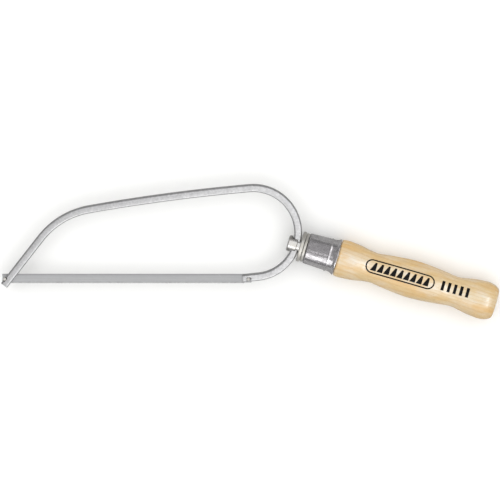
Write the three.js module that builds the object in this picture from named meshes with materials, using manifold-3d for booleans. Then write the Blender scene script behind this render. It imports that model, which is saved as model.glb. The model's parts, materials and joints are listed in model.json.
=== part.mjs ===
// Small bow hacksaw: a sprung steel bow, a 150 mm blade hooked into it by cross pins, and a
// turned wooden handle clamped to the round back of the bow by an eye bolt.
// Millimetres, +Z up. The saw lies on its side: the blade runs along X with its teeth toward -Y,
// and the whole bow stands in one plane parallel to the XY plane. The design is drawn about the
// centre of the bow's round back and moved at the end, so that the middle of the underside of
// the whole saw is the origin.
import * as THREE from 'three';
import { mergeVertices } from 'three/addons/utils/BufferGeometryUtils.js';
import Module from 'manifold-3d';

const wasm = await Module();
wasm.setup();

// ---- driving dimensions ----
const degree = Math.PI / 180;
const gap = 0.3;                        // free space kept between neighbouring pieces

const strip = { width: 4.6, depth: 6, chamfer: 0.7 };

// The bow's centre line, from the blade hook under the round back to the nose.
const backRadius = 26.8;
const hookSlope = 6 * degree;           // the hook leg runs down toward the nose
const topSlope = 5 * degree;            // so does the top arm where it leaves the round back
const crownRadius = 1115;
const crownTurn = 5 * degree;
const shoulderRadius = 47.5;
const shoulderTurn = 41.8 * degree;
const hookLength = 9.3;
const strutLength = 36.1;

const blade = { length: 150, height: 5.7, thickness: 0.65 };
const tooth = { pitch: 0.8, depth: 0.45, tipAt: 0.3 };   // steep side toward the nose, for a push stroke
const bladeNose = -151.3;               // front end of the blade
const bladeLine = -27.9;                // height of the blade's middle line
const pin = { radius: 1, length: 6, inset: 1.7, fit: 0.15, chamfer: 0.2 };

const slotWidth = 1.25;                 // sawn slot that takes the blade
const noseSlotLength = 11.6;
const hookSlotLength = 6;
const noseNotch = { width: 2.7, floor: 1.3 };   // floor is measured from the pin's centre
const hookNotch = { front: 1.3, back: 1.7, top: 1.3 };

const handleTilt = -16.5 * degree;      // handle axis, through the centre of the round back

// Stations are distances along the handle axis from the centre of the round back.
const stud = {
  head: 21.5, eyeStart: 23.8, eyeEnd: 31.2, shoulder: 32.6, tip: 70,
  radius: 4.8, shankRadius: 2.9, chamfer: 0.8,
};
const eyeHeight = strip.depth + 2 * gap;
const frontWasher = { start: 29, end: 30.9, radius: 9.2, bore: 5.1 };
const backWasher = { start: 31.2, end: 32.8, radius: 8.8, bore: 5.1 };
const washerChamfer = 0.35;

const ferrule = {
  front: 33.1, frontWall: 1.5, hole: 3.25, wall: 0.9, frontRadius: 9.3, cornerRadius: 0.7,
  beadStart: 46.5, beadEnd: 47.5, beadHeight: 0.3, bodyRadius: 9.75,
  end: 52.4, endRadius: 11,
};
const nut = { start: 34.9, thickness: 5, acrossFlats: 10, bore: 3.2 };

const tenon = { start: 34.9, radius: 8.1, rootStart: 47, rootRadius: 9.7 };
const handleBore = { radius: 3.5, end: 76 };
const handleFront = 52.9;
// [station, radius] of the turned outline from the ferrule to the butt
const handleOutline = [
  [52.9, 11.1], [56.6, 11.4], [64.5, 10.7], [70.5, 9.6], [75.8, 9.1], [80, 9.6], [91.5, 10.9],
  [101, 11.3], [112.5, 10.5], [125, 9.1], [130.5, 9.8], [136.5, 10.9], [143, 11.45],
];
const butt = { station: 151.1, flatRadius: 7.8 };

const roundSides = 32;
const handleSteps = 34;

// ---- materials ----
const finish = (name, color, roughness, metalness) =>
  new THREE.MeshStandardMaterial({ name, color, roughness, metalness });

const platedSteel = finish('plated_steel', 0xc4c6c8, 0.35, 1);
const bladeSteel = finish('blade_steel', 0xb2b4b5, 0.5, 1);
const chrome = finish('chrome', 0xd8d6da, 0.12, 1);
const zincSteel = finish('zinc_steel', 0xc9c7c0, 0.3, 1);
const lacqueredWood = finish('lacquered_wood', 0xe3c48b, 0.35, 0);

// ---- solids ----
function solidOf(geometry) {
  const plain = geometry.clone();
  plain.deleteAttribute('normal');
  plain.deleteAttribute('uv');
  const merged = mergeVertices(plain, 1e-4);
  return new wasm.Manifold(new wasm.Mesh({
    numProp: 3,
    vertProperties: new Float32Array(merged.attributes.position.array),
    triVerts: new Uint32Array(merged.index.array),
  }));
}

function geometryOf(solid) {
  const mesh = solid.getMesh();
  const geometry = new THREE.BufferGeometry();
  geometry.setAttribute('position', new THREE.BufferAttribute(mesh.vertProperties, 3));
  geometry.setIndex(new THREE.BufferAttribute(mesh.triVerts, 1));
  geometry.computeVertexNormals();
  return geometry;
}

// A box between two corners, turned by an angle about Z and then moved to a place.
function cutter(low, high, angle = 0, place = new THREE.Vector2()) {
  const size = new THREE.Vector3().subVectors(high, low);
  const middle = new THREE.Vector3().addVectors(low, high).multiplyScalar(0.5);
  const box = new THREE.BoxGeometry(size.x, size.y, size.z);
  box.translate(middle.x, middle.y, middle.z);
  box.rotateZ(angle);
  box.translate(place.x, place.y, 0);
  return solidOf(box);
}

// A turned piece about the local X axis, from [station, radius] pairs that run along it.
function turned(profile, sides = roundSides) {
  const points = profile.map(([station, radius]) => new THREE.Vector2(radius, station));
  const lathe = new THREE.LatheGeometry(points, sides);
  lathe.rotateZ(-Math.PI / 2);
  return lathe;
}

// A washer or ring with all four corners bevelled.
function ring({ start, end, radius, bore }) {
  const c = washerChamfer;
  return turned([
    [start + c, bore], [start, bore + c], [start, radius - c], [start + c, radius],
    [end - c, radius], [end, radius - c], [end, bore + c], [end - c, bore], [start + c, bore],
  ]);
}

// ---- bow ----
// Walks tangent lines and arcs; every stop holds its place and its heading.
function walk(start, heading, sections) {
  const stops = [{ place: start.clone(), heading }];
  for (const { length, radius, turn, steps } of sections) {
    for (let step = 0; step < steps; step += 1) {
      const last = stops[stops.length - 1];
      const stepTurn = turn ? turn / steps : 0;
      const chord = turn ? 2 * radius * Math.sin(stepTurn / 2) : length / steps;
      const course = last.heading + stepTurn / 2;
      const move = new THREE.Vector2(Math.cos(course), Math.sin(course)).multiplyScalar(chord);
      stops.push({ place: last.place.clone().add(move), heading: last.heading + stepTurn });
    }
  }
  return stops;
}

function sideways({ place, heading }, distance) {
  return new THREE.Vector2(
    place.x + distance * Math.sin(heading),
    place.y - distance * Math.cos(heading),
  );
}

function bowCentreLine() {
  const backStart = new THREE.Vector2(Math.sin(hookSlope), -Math.cos(hookSlope))
    .multiplyScalar(backRadius);
  const hookDirection = new THREE.Vector2(Math.cos(hookSlope), Math.sin(hookSlope));
  const start = backStart.clone().addScaledVector(hookDirection, -hookLength);
  return walk(start, hookSlope, [
    { length: hookLength, steps: 1 },
    { radius: backRadius, turn: Math.PI + topSlope - hookSlope, steps: 36 },
    { radius: crownRadius, turn: crownTurn, steps: 4 },
    { radius: shoulderRadius, turn: shoulderTurn, steps: 10 },
    { length: strutLength, steps: 1 },
  ]);
}

const pinFront = new THREE.Vector2(bladeNose + pin.inset, bladeLine);
const pinRear = new THREE.Vector2(bladeNose + blade.length - pin.inset, bladeLine);

function bowGeometry() {
  const line = bowCentreLine();
  const half = strip.width / 2;
  const outer = line.map((stop) => sideways(stop, half));
  const inner = line.map((stop) => sideways(stop, -half)).reverse();
  const body = new THREE.ExtrudeGeometry(new THREE.Shape([...outer, ...inner]), {
    depth: strip.depth - 2 * strip.chamfer,
    bevelThickness: strip.chamfer,
    bevelSize: strip.chamfer,
    bevelOffset: -strip.chamfer,
    bevelSegments: 1,
  });
  body.translate(0, 0, strip.chamfer - strip.depth / 2);

  const nose = line[line.length - 1];
  const hookEnd = line[0];
  const wide = strip.width;
  const deep = strip.depth;
  const noseSlot = cutter(
    new THREE.Vector3(-noseSlotLength, -wide, -slotWidth / 2),
    new THREE.Vector3(wide, wide, slotWidth / 2),
    nose.heading,
    nose.place,
  );
  const noseSeat = cutter(
    new THREE.Vector3(-noseNotch.width / 2, -wide, -deep),
    new THREE.Vector3(noseNotch.width / 2, noseNotch.floor, deep),
    nose.heading,
    pinFront,
  );
  const hookSlot = cutter(
    new THREE.Vector3(-wide, -wide, -slotWidth / 2),
    new THREE.Vector3(hookSlotLength, wide, slotWidth / 2),
    hookEnd.heading,
    hookEnd.place,
  );
  const hookSeat = cutter(
    new THREE.Vector3(-hookNotch.front, -wide, -deep),
    new THREE.Vector3(hookNotch.back, hookNotch.top, deep),
    0,
    pinRear,
  );
  const cut = solidOf(body).subtract(noseSlot).subtract(noseSeat);
  return geometryOf(cut.subtract(hookSlot).subtract(hookSeat));
}

// ---- blade ----
function bladeGeometry() {
  const outline = new THREE.Shape();
  const top = bladeLine + blade.height / 2;
  const tips = bladeLine - blade.height / 2;
  const tail = bladeNose + blade.length;
  const roots = tips + tooth.depth;
  const plainEnd = 2 * pin.inset;
  outline.moveTo(bladeNose, top);
  outline.lineTo(bladeNose, roots);
  for (let x = bladeNose + plainEnd; x < tail - plainEnd; x += tooth.pitch) {
    outline.lineTo(x, roots);
    outline.lineTo(x + tooth.tipAt * tooth.pitch, tips);
  }
  outline.lineTo(tail, roots);
  outline.lineTo(tail, top);
  for (const centre of [pinFront, pinRear]) {
    const hole = new THREE.Path();
    hole.absarc(centre.x, centre.y, pin.radius + pin.fit, 0, 2 * Math.PI);
    outline.holes.push(hole);
  }
  const plate = new THREE.ExtrudeGeometry(outline, {
    depth: blade.thickness, bevelEnabled: false, curveSegments: 8,
  });
  plate.translate(0, 0, -blade.thickness / 2);
  return plate;
}

function pinGeometry() {
  const half = pin.length / 2;
  const c = pin.chamfer;
  const round = turned([
    [-half, 0], [-half, pin.radius - c], [c - half, pin.radius],
    [half - c, pin.radius], [half, pin.radius - c], [half, 0],
  ], 16);
  round.rotateY(-Math.PI / 2);
  return round;
}

// ---- clamp and handle, along the handle axis ----
function studGeometry() {
  const c = stud.chamfer;
  const round = turned([
    [stud.head, 0], [stud.head, stud.radius - c], [stud.head + c, stud.radius],
    [stud.shoulder, stud.radius], [stud.shoulder, stud.shankRadius],
    [stud.tip - c, stud.shankRadius], [stud.tip, stud.shankRadius - c], [stud.tip, 0],
  ]);
  const reach = 2 * stud.radius;
  const eye = cutter(
    new THREE.Vector3(stud.eyeStart, -reach, -eyeHeight / 2),
    new THREE.Vector3(stud.eyeEnd, reach, eyeHeight / 2),
  );
  return geometryOf(solidOf(round).subtract(eye));
}

function ferruleGeometry() {
  const f = ferrule;
  const inside = f.front + f.frontWall;
  const raised = f.bodyRadius + f.beadHeight;
  const corner = f.cornerRadius;
  const turn = corner * (1 - Math.SQRT1_2);
  return turned([
    [inside, f.hole], [f.front, f.hole],
    [f.front, f.frontRadius - corner],
    [f.front + turn, f.frontRadius - turn],
    [f.front + corner, f.frontRadius],
    [f.beadStart, f.bodyRadius], [f.beadStart + 0.2, raised], [f.beadEnd - 0.2, raised],
    [f.beadEnd, f.bodyRadius], [f.beadEnd + 2, f.bodyRadius + 0.25],
    [f.end - 0.8, f.endRadius - 0.1], [f.end, f.endRadius],
    [f.end, f.endRadius - f.wall], [f.beadEnd + 2, f.bodyRadius + 0.25 - f.wall],
    [f.beadStart, f.bodyRadius - f.wall], [inside, f.frontRadius - f.wall], [inside, f.hole],
  ]);
}

function hexPrism(start, end, acrossFlats) {
  const corner = acrossFlats / Math.sqrt(3);
  return turned([[start, 0], [start, corner], [end, corner], [end, 0]], 6);
}

function nutGeometry() {
  const end = nut.start + nut.thickness;
  const body = solidOf(hexPrism(nut.start, end, nut.acrossFlats));
  const bore = solidOf(turned([
    [nut.start - 1, 0], [nut.start - 1, nut.bore], [end + 1, nut.bore], [end + 1, 0],
  ], 24));
  return geometryOf(body.subtract(bore));
}

function handleGeometry() {
  const curve = new THREE.SplineCurve([
    ...handleOutline.map(([station, radius]) => new THREE.Vector2(station, radius)),
  ]);
  const swell = curve.getSpacedPoints(handleSteps).map((point) => [point.x, point.y]);
  const [shoulder, shoulderRadius] = handleOutline[handleOutline.length - 1];
  const rounding = [];
  for (let step = 1; step <= 6; step += 1) {
    const angle = (step / 6) * Math.PI / 2;
    rounding.push([
      shoulder + (butt.station - shoulder) * Math.sin(angle),
      butt.flatRadius + (shoulderRadius - butt.flatRadius) * Math.cos(angle),
    ]);
  }
  const body = solidOf(turned([
    [tenon.start, 0], [tenon.start, tenon.radius - 0.3], [tenon.start + 0.3, tenon.radius],
    [tenon.rootStart, tenon.radius], [handleFront - 0.2, tenon.rootRadius],
    [handleFront, tenon.rootRadius],
    ...swell, ...rounding, [butt.station, 0],
  ]));
  const bore = solidOf(turned([
    [tenon.start - 1, 0], [tenon.start - 1, handleBore.radius],
    [handleBore.end - handleBore.radius, handleBore.radius], [handleBore.end, 0],
  ], 24));
  const pocketEnd = nut.start + nut.thickness + gap;
  const pocket = solidOf(hexPrism(nut.start - 1, pocketEnd, nut.acrossFlats + 2 * gap));
  return geometryOf(body.subtract(bore).subtract(pocket));
}

// ---- assembly ----
function piece(name, geometry, material) {
  const mesh = new THREE.Mesh(geometry, material);
  mesh.name = name;
  return mesh;
}

function bladeGroup() {
  const group = new THREE.Group();
  group.add(piece('saw_blade', bladeGeometry(), bladeSteel));
  for (const [name, centre] of [['front_blade_pin', pinFront], ['rear_blade_pin', pinRear]]) {
    const round = piece(name, pinGeometry(), zincSteel);
    round.position.set(centre.x, centre.y, 0);
    group.add(round);
  }
  return group;
}

function handleGroup() {
  const group = new THREE.Group();
  group.rotation.z = handleTilt;
  group.add(piece('clamp_stud', studGeometry(), zincSteel));
  group.add(piece('front_washer', ring(frontWasher), zincSteel));
  group.add(piece('back_washer', ring(backWasher), zincSteel));
  group.add(piece('ferrule', ferruleGeometry(), chrome));
  group.add(piece('handle_nut', nutGeometry(), zincSteel));
  group.add(piece('wood_handle', handleGeometry(), lacqueredWood));
  return group;
}

const saw = new THREE.Group();
saw.add(piece('bow_strip', bowGeometry(), platedSteel));
saw.add(bladeGroup());
saw.add(handleGroup());

const extent = new THREE.Box3().setFromObject(saw, true);
const middle = extent.getCenter(new THREE.Vector3());
saw.position.set(-middle.x, -middle.y, -extent.min.z);

const assembly = new THREE.Group();
assembly.add(saw);

export default assembly;
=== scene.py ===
"""The finished look of a small bow hacksaw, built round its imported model.

The saw lies on its side: a sprung strip bent into a bow, a toothed blade hooked in by cross pins,
an eye bolt with two washers, and a turned wooden handle behind a bright ferrule. Each piece has its
own operator, and the sidebar panel lists them with the sizes and colours that may be changed.
"""

import json
import math

import bmesh
import bpy
from bpy.props import FloatProperty, FloatVectorProperty, PointerProperty
from bpy.types import Operator, Panel, PropertyGroup
from mathutils import Matrix, Vector


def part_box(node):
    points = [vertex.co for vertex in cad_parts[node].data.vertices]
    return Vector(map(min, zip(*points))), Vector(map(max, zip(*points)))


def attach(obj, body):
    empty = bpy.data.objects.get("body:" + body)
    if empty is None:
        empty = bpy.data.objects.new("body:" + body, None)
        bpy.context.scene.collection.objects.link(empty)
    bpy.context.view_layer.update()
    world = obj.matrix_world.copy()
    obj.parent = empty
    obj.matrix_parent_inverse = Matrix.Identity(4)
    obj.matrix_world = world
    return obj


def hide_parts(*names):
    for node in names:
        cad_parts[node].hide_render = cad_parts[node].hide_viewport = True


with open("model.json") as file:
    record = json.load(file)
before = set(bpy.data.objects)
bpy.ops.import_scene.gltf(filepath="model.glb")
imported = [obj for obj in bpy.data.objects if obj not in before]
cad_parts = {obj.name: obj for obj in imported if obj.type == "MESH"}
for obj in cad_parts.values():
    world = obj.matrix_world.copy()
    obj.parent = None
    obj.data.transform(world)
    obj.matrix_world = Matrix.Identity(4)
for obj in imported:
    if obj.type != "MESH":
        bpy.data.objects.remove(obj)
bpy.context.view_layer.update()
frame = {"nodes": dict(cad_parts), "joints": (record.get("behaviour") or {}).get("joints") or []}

bl_info = {
    "name": "Bow Hacksaw",
    "version": (1, 0, 0),
    "blender": (4, 5, 0),
    "location": "3D View > Sidebar > Bow Hacksaw",
    "description": "Builds the bow, blade, clamp and wooden handle of a small hacksaw",
    "category": "Add Mesh",
}

MM = 0.001

# ---- places that come from the frame ----
joints = {joint["name"]: joint for joint in frame["joints"]}
back_centre = Vector(joints["handle_shift"]["pos_m"])
handle_axis = Vector(joints["clamp_travel"]["axis"]).normalized()
handle_place = Matrix.Translation(back_centre) @ Matrix.Rotation(
    math.atan2(handle_axis.y, handle_axis.x), 4, "Z"
)
bow_place = Matrix.Translation(back_centre)
nose_pin = Vector(joints["blade_swing"]["pos_m"])
tail_pin = sum(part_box("rear_blade_pin"), Vector()) / 2
blade_low, blade_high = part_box("saw_blade")

# ---- shape of the bow, in millimetres and degrees, about the centre of its round back ----
BACK_RADIUS = 26.8
HOOK_SLOPE = 6.0
TOP_SLOPE = 5.0
CROWN_RADIUS = 1115.0
CROWN_TURN = 5.0
SHOULDER_RADIUS = 47.5
SHOULDER_TURN = 41.8
HOOK_LENGTH = 9.3
STRUT_LENGTH = 36.1
NOSE_SLOT_LENGTH = 11.6
HOOK_SLOT_LENGTH = 6.0
NOSE_NOTCH_WIDTH = 2.7
HOOK_NOTCH_BACK = 1.7
SLOT_ROUNDING = 0.1
NOTCH_ROUNDING = 0.5
STRIP_EDGE_BREAK = 0.22

# ---- the blade and its pins, in millimetres ----
PIN_RADIUS = 1.0
PIN_PLAY = 0.06
PLAIN_END = 3.4
BACK_BEVEL = 0.1
TEETH_PER_WAVE = 12
TIP_SHARE = 0.3  # where the tip stands within its pitch
ROOT_BEND = 0.35  # how far the roots follow the tips sideways
SET_DEPTHS = 2.2  # the set starts this many tooth depths above the tips

# ---- stations along the handle axis from the centre of the round back, in millimetres ----
STUD_HEAD = 21.5
EYE = (23.8, 31.2)
EYE_PLAY = 0.12
EYE_ROUNDING = 0.4
GROOVE = (27.1, 28.7)
GROOVE_RADIUS = 4.1
STUD_SHOULDER = 32.6
STUD_TIP = 70.0
STUD_RADIUS = 4.8
SHANK_RADIUS = 2.9
FRONT_WASHER = (29.0, 30.9, 9.2)  # start, end and radius
BACK_WASHER = (31.2, 32.8, 8.8)
WASHER_BORE = 5.1
FERRULE_FRONT = 33.1
FERRULE_END = 52.4
HANDLE_FRONT = 52.9
TENON_START = 34.9
TENON_RADIUS = 8.1
# (station, radius) of the turned outline, from the ferrule to the shoulder of the butt
HANDLE_OUTLINE = [
    (52.9, 11.1), (56.6, 11.4), (64.5, 10.7), (70.5, 9.6), (75.8, 9.1), (80.0, 9.6), (91.5, 10.9),
    (101.0, 11.3), (112.5, 10.5), (125.0, 9.1), (130.5, 9.8), (136.5, 10.9), (143.0, 11.45),
]
OUTLINE_STEPS = 8
BUTT_STATION = 151.1
BUTT_RADIUS = 7.8

# ---- printed marks on the handle, in millimetres ----
BADGE_SPAN = (69.6, 112.4)
BADGE_HEIGHT = 8.8
BADGE_LINE = 0.85
TOOTH_SPAN = (72.9, 109.3)
TOOTH_COUNT = 9
TOOTH_HEIGHT = 5.2
TOOTH_FILL = 0.88  # shares of a tooth's pitch
TOOTH_RAKE = 0.6
BAR_SPAN = (116.6, 135.6)
BAR_COUNT = 5
BAR_HEIGHT = 5.9
BAR_FILL = 0.48  # share of a bar's pitch
BAR_RAISE = 0.7
MARK_TURN = 11.0  # degrees from straight up, toward the back of the bow
INK_FILM = 0.03

# ---- stage ----
VIEW_OFFSET = Vector((-2.1, -10.6, 0.0))  # from the back's centre to the picture's, in millimetres
WHITE = (1.0, 1.0, 1.0)
DIM_HORIZON = (0.15, 0.15, 0.15, 1.0)
DIM_ABOVE = (0.36, 0.355, 0.36, 1.0)
SOFT_SKY = (0.78, 0.78, 0.77, 1.0)
BACKDROP = (0.8, 0.8, 0.795, 1.0)
LIT_STATION = 40.0  # where the lamps aim, along the handle axis, in millimetres
FLOOR_REACH = 6.0
SHEEN_COLOUR = (0.3, 0.75, 1.3)  # bluish, so that the warm wood's highlight comes out white
WATTS_PER_AREA = 4.0  # lamp power that gives a soft box unit brightness, per square metre


# ---- settings ----
def colour_setting(name, description, default):
    return FloatVectorProperty(
        name=name, description=description, default=(*default, 1.0),
        size=4, min=0.0, max=1.0, subtype="COLOR",
    )


def length_setting(name, description, millimetres):
    return FloatProperty(
        name=name, description=description, default=millimetres * MM, min=0.0, unit="LENGTH",
    )


class BowSettings(PropertyGroup):
    strip_width: length_setting("Strip width", "Thickness of the strip in the plane of the bow", 4.6)
    strip_depth: length_setting("Strip depth", "Depth of the strip across the bow", 6.0)
    edge_radius: length_setting("Edge radius", "Rounding of the strip's long edges", 1.1)
    slot_width: length_setting("Slot width", "Width of the sawn slots that take the blade", 0.85)
    plate: colour_setting("Plating", "Satin nickel plate of the bow", (0.74, 0.742, 0.745))
    plate_dark: colour_setting("Dull plating", "Plate where it is dull", (0.42, 0.422, 0.425))


class BladeSettings(PropertyGroup):
    tooth_pitch: length_setting("Tooth pitch", "Distance from tooth to tooth", 0.8)
    tooth_depth: length_setting("Tooth depth", "Depth of the gullets", 0.55)
    tooth_set: length_setting("Tooth set", "How far the wavy set bends the teeth sideways", 0.12)
    steel: colour_setting("Blade steel", "Ground face of the blade", (0.47, 0.475, 0.48))
    # this colour is also used for the blade's streaks and clouds, and for painted shade over its top
    # band along the back
    steel_dark: colour_setting("Blade back", "Darker back edge of the blade", (0.31, 0.31, 0.315))


class ClampSettings(PropertyGroup):
    thread_pitch: length_setting("Thread pitch", "Pitch of the stud's thread", 1.0)
    bolt: colour_setting("Eye bolt", "Bright plate of the eye bolt", (0.735, 0.735, 0.73))
    zinc: colour_setting("Zinc plate", "Bright zinc plate of washers, pins and nut", (0.74, 0.73, 0.70))
    zinc_dark: colour_setting("Dull zinc", "Zinc plate where it is dull", (0.50, 0.49, 0.47))


class HandleSettings(PropertyGroup):
    chrome: colour_setting("Ferrule", "Bright plate of the ferrule", (0.83, 0.81, 0.825))
    wood: colour_setting("Wood", "Pale wood between the grain lines", (0.68, 0.51, 0.265))
    grain: colour_setting("Grain", "Darker late wood and streaks", (0.56, 0.32, 0.11))
    ink: colour_setting("Ink", "Printed marks on the handle", (0.004, 0.004, 0.004))


class StageSettings(PropertyGroup):
    floor: colour_setting("Floor", "Plain pale floor", (0.97, 0.97, 0.965))
    camera_distance: FloatProperty(
        name="Camera distance", description="From the lens to the plane of the bow",
        default=2.0, min=0.3, unit="LENGTH",
    )
    camera_tilt: FloatProperty(
        name="Camera tilt", description="Lean of the view toward the back of the bow",
        default=math.radians(6.5), subtype="ANGLE",
    )
    picture_span: FloatProperty(
        name="Picture span", description="Width of the picture in the plane of the bow",
        default=0.3, min=0.05, unit="LENGTH",
    )


# ---- mesh tools ----
def new_object(name, bm, place=None):
    """Turns a bmesh into a linked object at a place."""
    bmesh.ops.recalc_face_normals(bm, faces=bm.faces)
    mesh = bpy.data.meshes.new(name)
    bm.to_mesh(mesh)
    bm.free()
    made = bpy.data.objects.new(name, mesh)
    bpy.context.collection.objects.link(made)
    made.matrix_world = place or Matrix.Identity(4)
    return made


def bake_modifiers(made):
    """Replaces the object's mesh by what its modifiers make of it."""
    bpy.context.view_layer.update()
    graph = bpy.context.evaluated_depsgraph_get()
    made.data = bpy.data.meshes.new_from_object(made.evaluated_get(graph))
    made.modifiers.clear()


def cut(made, cutters):
    """Cuts the cutters out of the object and removes them."""
    for cutter in cutters:
        modifier = made.modifiers.new(cutter.name, "BOOLEAN")
        modifier.operation = "DIFFERENCE"
        modifier.solver = "EXACT"
        modifier.object = cutter
    bake_modifiers(made)
    for cutter in cutters:
        bpy.data.objects.remove(cutter)


def break_edges(made, width):
    """Rounds the sharp edges slightly, as tumbling or a file would."""
    modifier = made.modifiers.new("broken edges", "BEVEL")
    modifier.width = width
    modifier.segments = 2
    modifier.limit_method = "ANGLE"
    modifier.angle_limit = math.radians(40.0)
    bake_modifiers(made)


def finish_piece(made, material, body, slot, *nodes, crease=35.0):
    """Gives a piece its material and shading, and ties it to its body and CAD nodes."""
    made.data.materials.clear()
    made.data.materials.append(material)
    made.data.shade_smooth()
    made.data.set_sharp_from_angle(angle=math.radians(crease))
    weighting = made.modifiers.new("flat faces stay flat", "WEIGHTED_NORMAL")
    weighting.keep_sharp = True
    bake_modifiers(made)
    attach(made, body)
    if nodes:
        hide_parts(*nodes)
    return made


def box_cutter(low, high, place, rounding, axis=2):
    """A box between two corners, in the place's own directions, rounded along one axis."""
    bm = bmesh.new()
    bmesh.ops.create_cube(bm, size=1.0)
    size = high - low
    bmesh.ops.scale(bm, vec=size, verts=bm.verts)
    bmesh.ops.translate(bm, vec=(low + high) / 2, verts=bm.verts)
    along = [
        edge for edge in bm.edges
        if abs(edge.verts[0].co[axis] - edge.verts[1].co[axis]) > size[axis] / 2
    ]
    bmesh.ops.bevel(bm, geom=along, offset=rounding, segments=4, profile=0.5, affect="EDGES")
    return new_object("cutter", bm, place)


def join_rings(bm, ring, following):
    """Faces between two rings of vertices; a ring of one vertex is a pole."""
    count = max(len(ring), len(following))
    for index in range(count):
        after = (index + 1) % count
        corners = [ring[index % len(ring)], ring[after % len(ring)]]
        corners += [following[after % len(following)], following[index % len(following)]]
        bm.faces.new(list(dict.fromkeys(corners)))


def round_ring(bm, station, radii):
    """A ring of vertices about the local X axis, one to a radius, in millimetres."""
    ring = []
    for index, radius in enumerate(radii):
        angle = 2 * math.pi * index / len(radii)
        spoke = (station, radius * math.cos(angle), radius * math.sin(angle))
        ring.append(bm.verts.new(Vector(spoke) * MM))
    return ring


def lathe(profile, segments=128):
    """Turns (station, radius) pairs, in millimetres, about the local X axis."""
    bm = bmesh.new()
    closed = profile[0] == profile[-1]
    rings = []
    for station, radius in profile[:-1] if closed else profile:
        rings.append(round_ring(bm, station, [radius] * (segments if radius > 0.0 else 1)))
    for ring, following in zip(rings, rings[1:]):
        join_rings(bm, ring, following)
    if closed:
        join_rings(bm, rings[-1], rings[0])
    return bm


def fillet(centre, radius, start, end, steps=5):
    """Points of an arc about a (station, radius) centre, angles in degrees from +station."""
    points = []
    for step in range(steps + 1):
        angle = math.radians(start + (end - start) * step / steps)
        points.append((centre[0] + radius * math.cos(angle), centre[1] + radius * math.sin(angle)))
    return points


def smooth_line(points, steps):
    """A curve through all the points, with some steps between each two."""
    ends = [points[0], *points, points[-1]]
    line = []
    for first, start, end, last in zip(ends, ends[1:], ends[2:], ends[3:]):
        for step in range(steps):
            t = step / steps
            line.append(tuple(
                0.5 * (2 * b + (c - a) * t + (2 * a - 5 * b + 4 * c - d) * t**2
                       + (3 * b - a - 3 * c + d) * t**3)
                for a, b, c, d in zip(first, start, end, last)
            ))
    return [*line, points[-1]]


# ---- bow ----
def walk(place, heading, sections):
    """Stops along tangent lines and arcs. A section is (length or radius, turn, steps)."""
    stops = [(place.copy(), heading)]
    for size, turn, steps in sections:
        step_turn = turn / steps
        chord = 2 * size * math.sin(step_turn / 2) if turn else size / steps
        for _ in range(steps):
            course = heading + step_turn / 2
            place = place + chord * Vector((math.cos(course), math.sin(course)))
            heading += step_turn
            stops.append((place, heading))
    return stops


def bow_line():
    """The strip's centre line from the hook under the round back to the nose, in metres."""
    slope = math.radians(HOOK_SLOPE)
    back_turn = math.radians(180 + TOP_SLOPE - HOOK_SLOPE)
    arc_start = BACK_RADIUS * MM * Vector((math.sin(slope), -math.cos(slope)))
    start = arc_start - HOOK_LENGTH * MM * Vector((math.cos(slope), math.sin(slope)))
    return walk(start, slope, [
        (HOOK_LENGTH * MM, 0.0, 6),
        (BACK_RADIUS * MM, back_turn, 90),
        (CROWN_RADIUS * MM, math.radians(CROWN_TURN), 24),
        (SHOULDER_RADIUS * MM, math.radians(SHOULDER_TURN), 24),
        (STRUT_LENGTH * MM, 0.0, 12),
    ])


def rounded_section(width, depth, radius):
    """The strip's cross section, as (sideways, up) pairs."""
    points = []
    corners = [(1, 1, 0), (-1, 1, 90), (-1, -1, 180), (1, -1, 270)]
    for side, rise, start in corners:
        centre = (side * (width / 2 - radius), rise * (depth / 2 - radius))
        points += fillet(centre, radius, start, start + 90)
    return points


def sweep(stops, section):
    """Carries the section along the stops; the map runs along and round the strip."""
    bm = bmesh.new()
    strip_map = bm.loops.layers.uv.new("along_strip")
    around = [0.0]
    for point, following in zip(section, [*section[1:], section[0]]):
        around.append(around[-1] + math.dist(point, following))
    rings = []
    for place, heading in stops:
        outward = Vector((math.sin(heading), -math.cos(heading)))
        rings.append([
            bm.verts.new((*(place + side * outward), rise)) for side, rise in section
        ])
    run = 0.0
    for ring, following, stop, after in zip(rings, rings[1:], stops, stops[1:]):
        step = (after[0] - stop[0]).length
        for index in range(len(section)):
            neighbour = (index + 1) % len(section)
            corners = [ring[index], ring[neighbour], following[neighbour], following[index]]
            face = bm.faces.new(corners)
            spots = [(run, index), (run, index + 1), (run + step, index + 1), (run + step, index)]
            for loop, (along, mark) in zip(face.loops, spots):
                loop[strip_map].uv = (along, around[mark])
        run += step
    bm.faces.new(rings[0])
    bm.faces.new(rings[-1])
    return bm


def strip_cutters(settings, stops):
    """Slots for the blade and notches for its pins, at the nose and at the hook."""
    half_slot = settings.slot_width / 2
    wide = 2 * settings.strip_width
    deep = settings.strip_depth
    rest = (PIN_RADIUS + PIN_PLAY) * MM
    cutters = []
    for (place, heading), reach in ((stops[-1], (-NOSE_SLOT_LENGTH * MM, wide)),
                                    (stops[0], (-wide, HOOK_SLOT_LENGTH * MM))):
        turned = Matrix.Translation((*place, 0)) @ Matrix.Rotation(heading, 4, "Z")
        cutters.append(box_cutter(
            Vector((reach[0], -wide, -half_slot)), Vector((reach[1], wide, half_slot)),
            bow_place @ turned, SLOT_ROUNDING * MM,
        ))
    nose_turn = Matrix.Rotation(stops[-1][1], 4, "Z")
    half_notch = NOSE_NOTCH_WIDTH / 2 * MM
    cutters.append(box_cutter(
        Vector((-half_notch, -wide, -deep)), Vector((half_notch, rest, deep)),
        Matrix.Translation(nose_pin) @ nose_turn, NOTCH_ROUNDING * MM,
    ))
    cutters.append(box_cutter(
        Vector((-rest, -wide, -deep)), Vector((HOOK_NOTCH_BACK * MM, rest, deep)),
        Matrix.Translation(tail_pin), NOTCH_ROUNDING * MM,
    ))
    return cutters


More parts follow.
